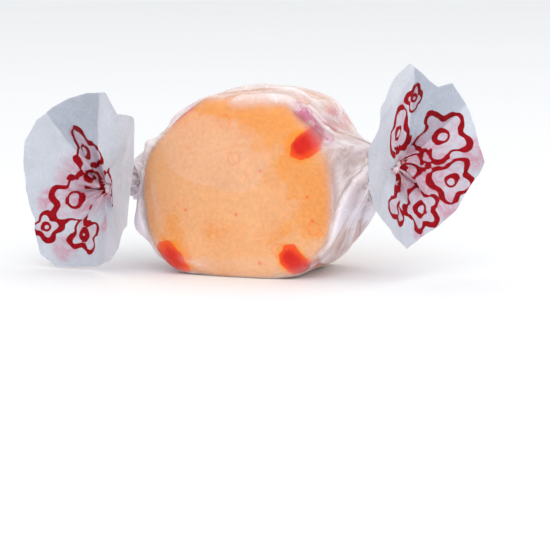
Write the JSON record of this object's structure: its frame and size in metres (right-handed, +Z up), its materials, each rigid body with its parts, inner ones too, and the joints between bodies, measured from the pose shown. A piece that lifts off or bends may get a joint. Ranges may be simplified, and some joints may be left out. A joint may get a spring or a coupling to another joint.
{
  "type": "salt water taffy",
  "caption": "Round piece of pulled taffy with strips of deeper orange through it, rolled in waxed paper that is twisted at both ends into open fans.",
  "frame": {"origin": "middle of the flat spot that the wrapped sweet stands on, on the table", "axes": "+X runs through both twists towards the fan that opens sideways, -Y is the front cut face, +Z is up"},
  "size_m": [0.0602, 0.0292, 0.0277],
  "materials": {
    "taffy": "smooth, faintly waxy, pale orange",
    "taffy_strip": "smooth, faintly waxy, deep orange red",
    "waxed_paper": "thin translucent waxed paper, white with a dark red outline pattern at each end"
  },
  "bodies": {
    "root": {"taffy_body": "taffy", "taffy_strip_1": "taffy_strip", "taffy_strip_2": "taffy_strip", "taffy_strip_3": "taffy_strip", "taffy_strip_4": "taffy_strip", "paper_wrapper": "waxed_paper"}
  },
  "joints": []
}
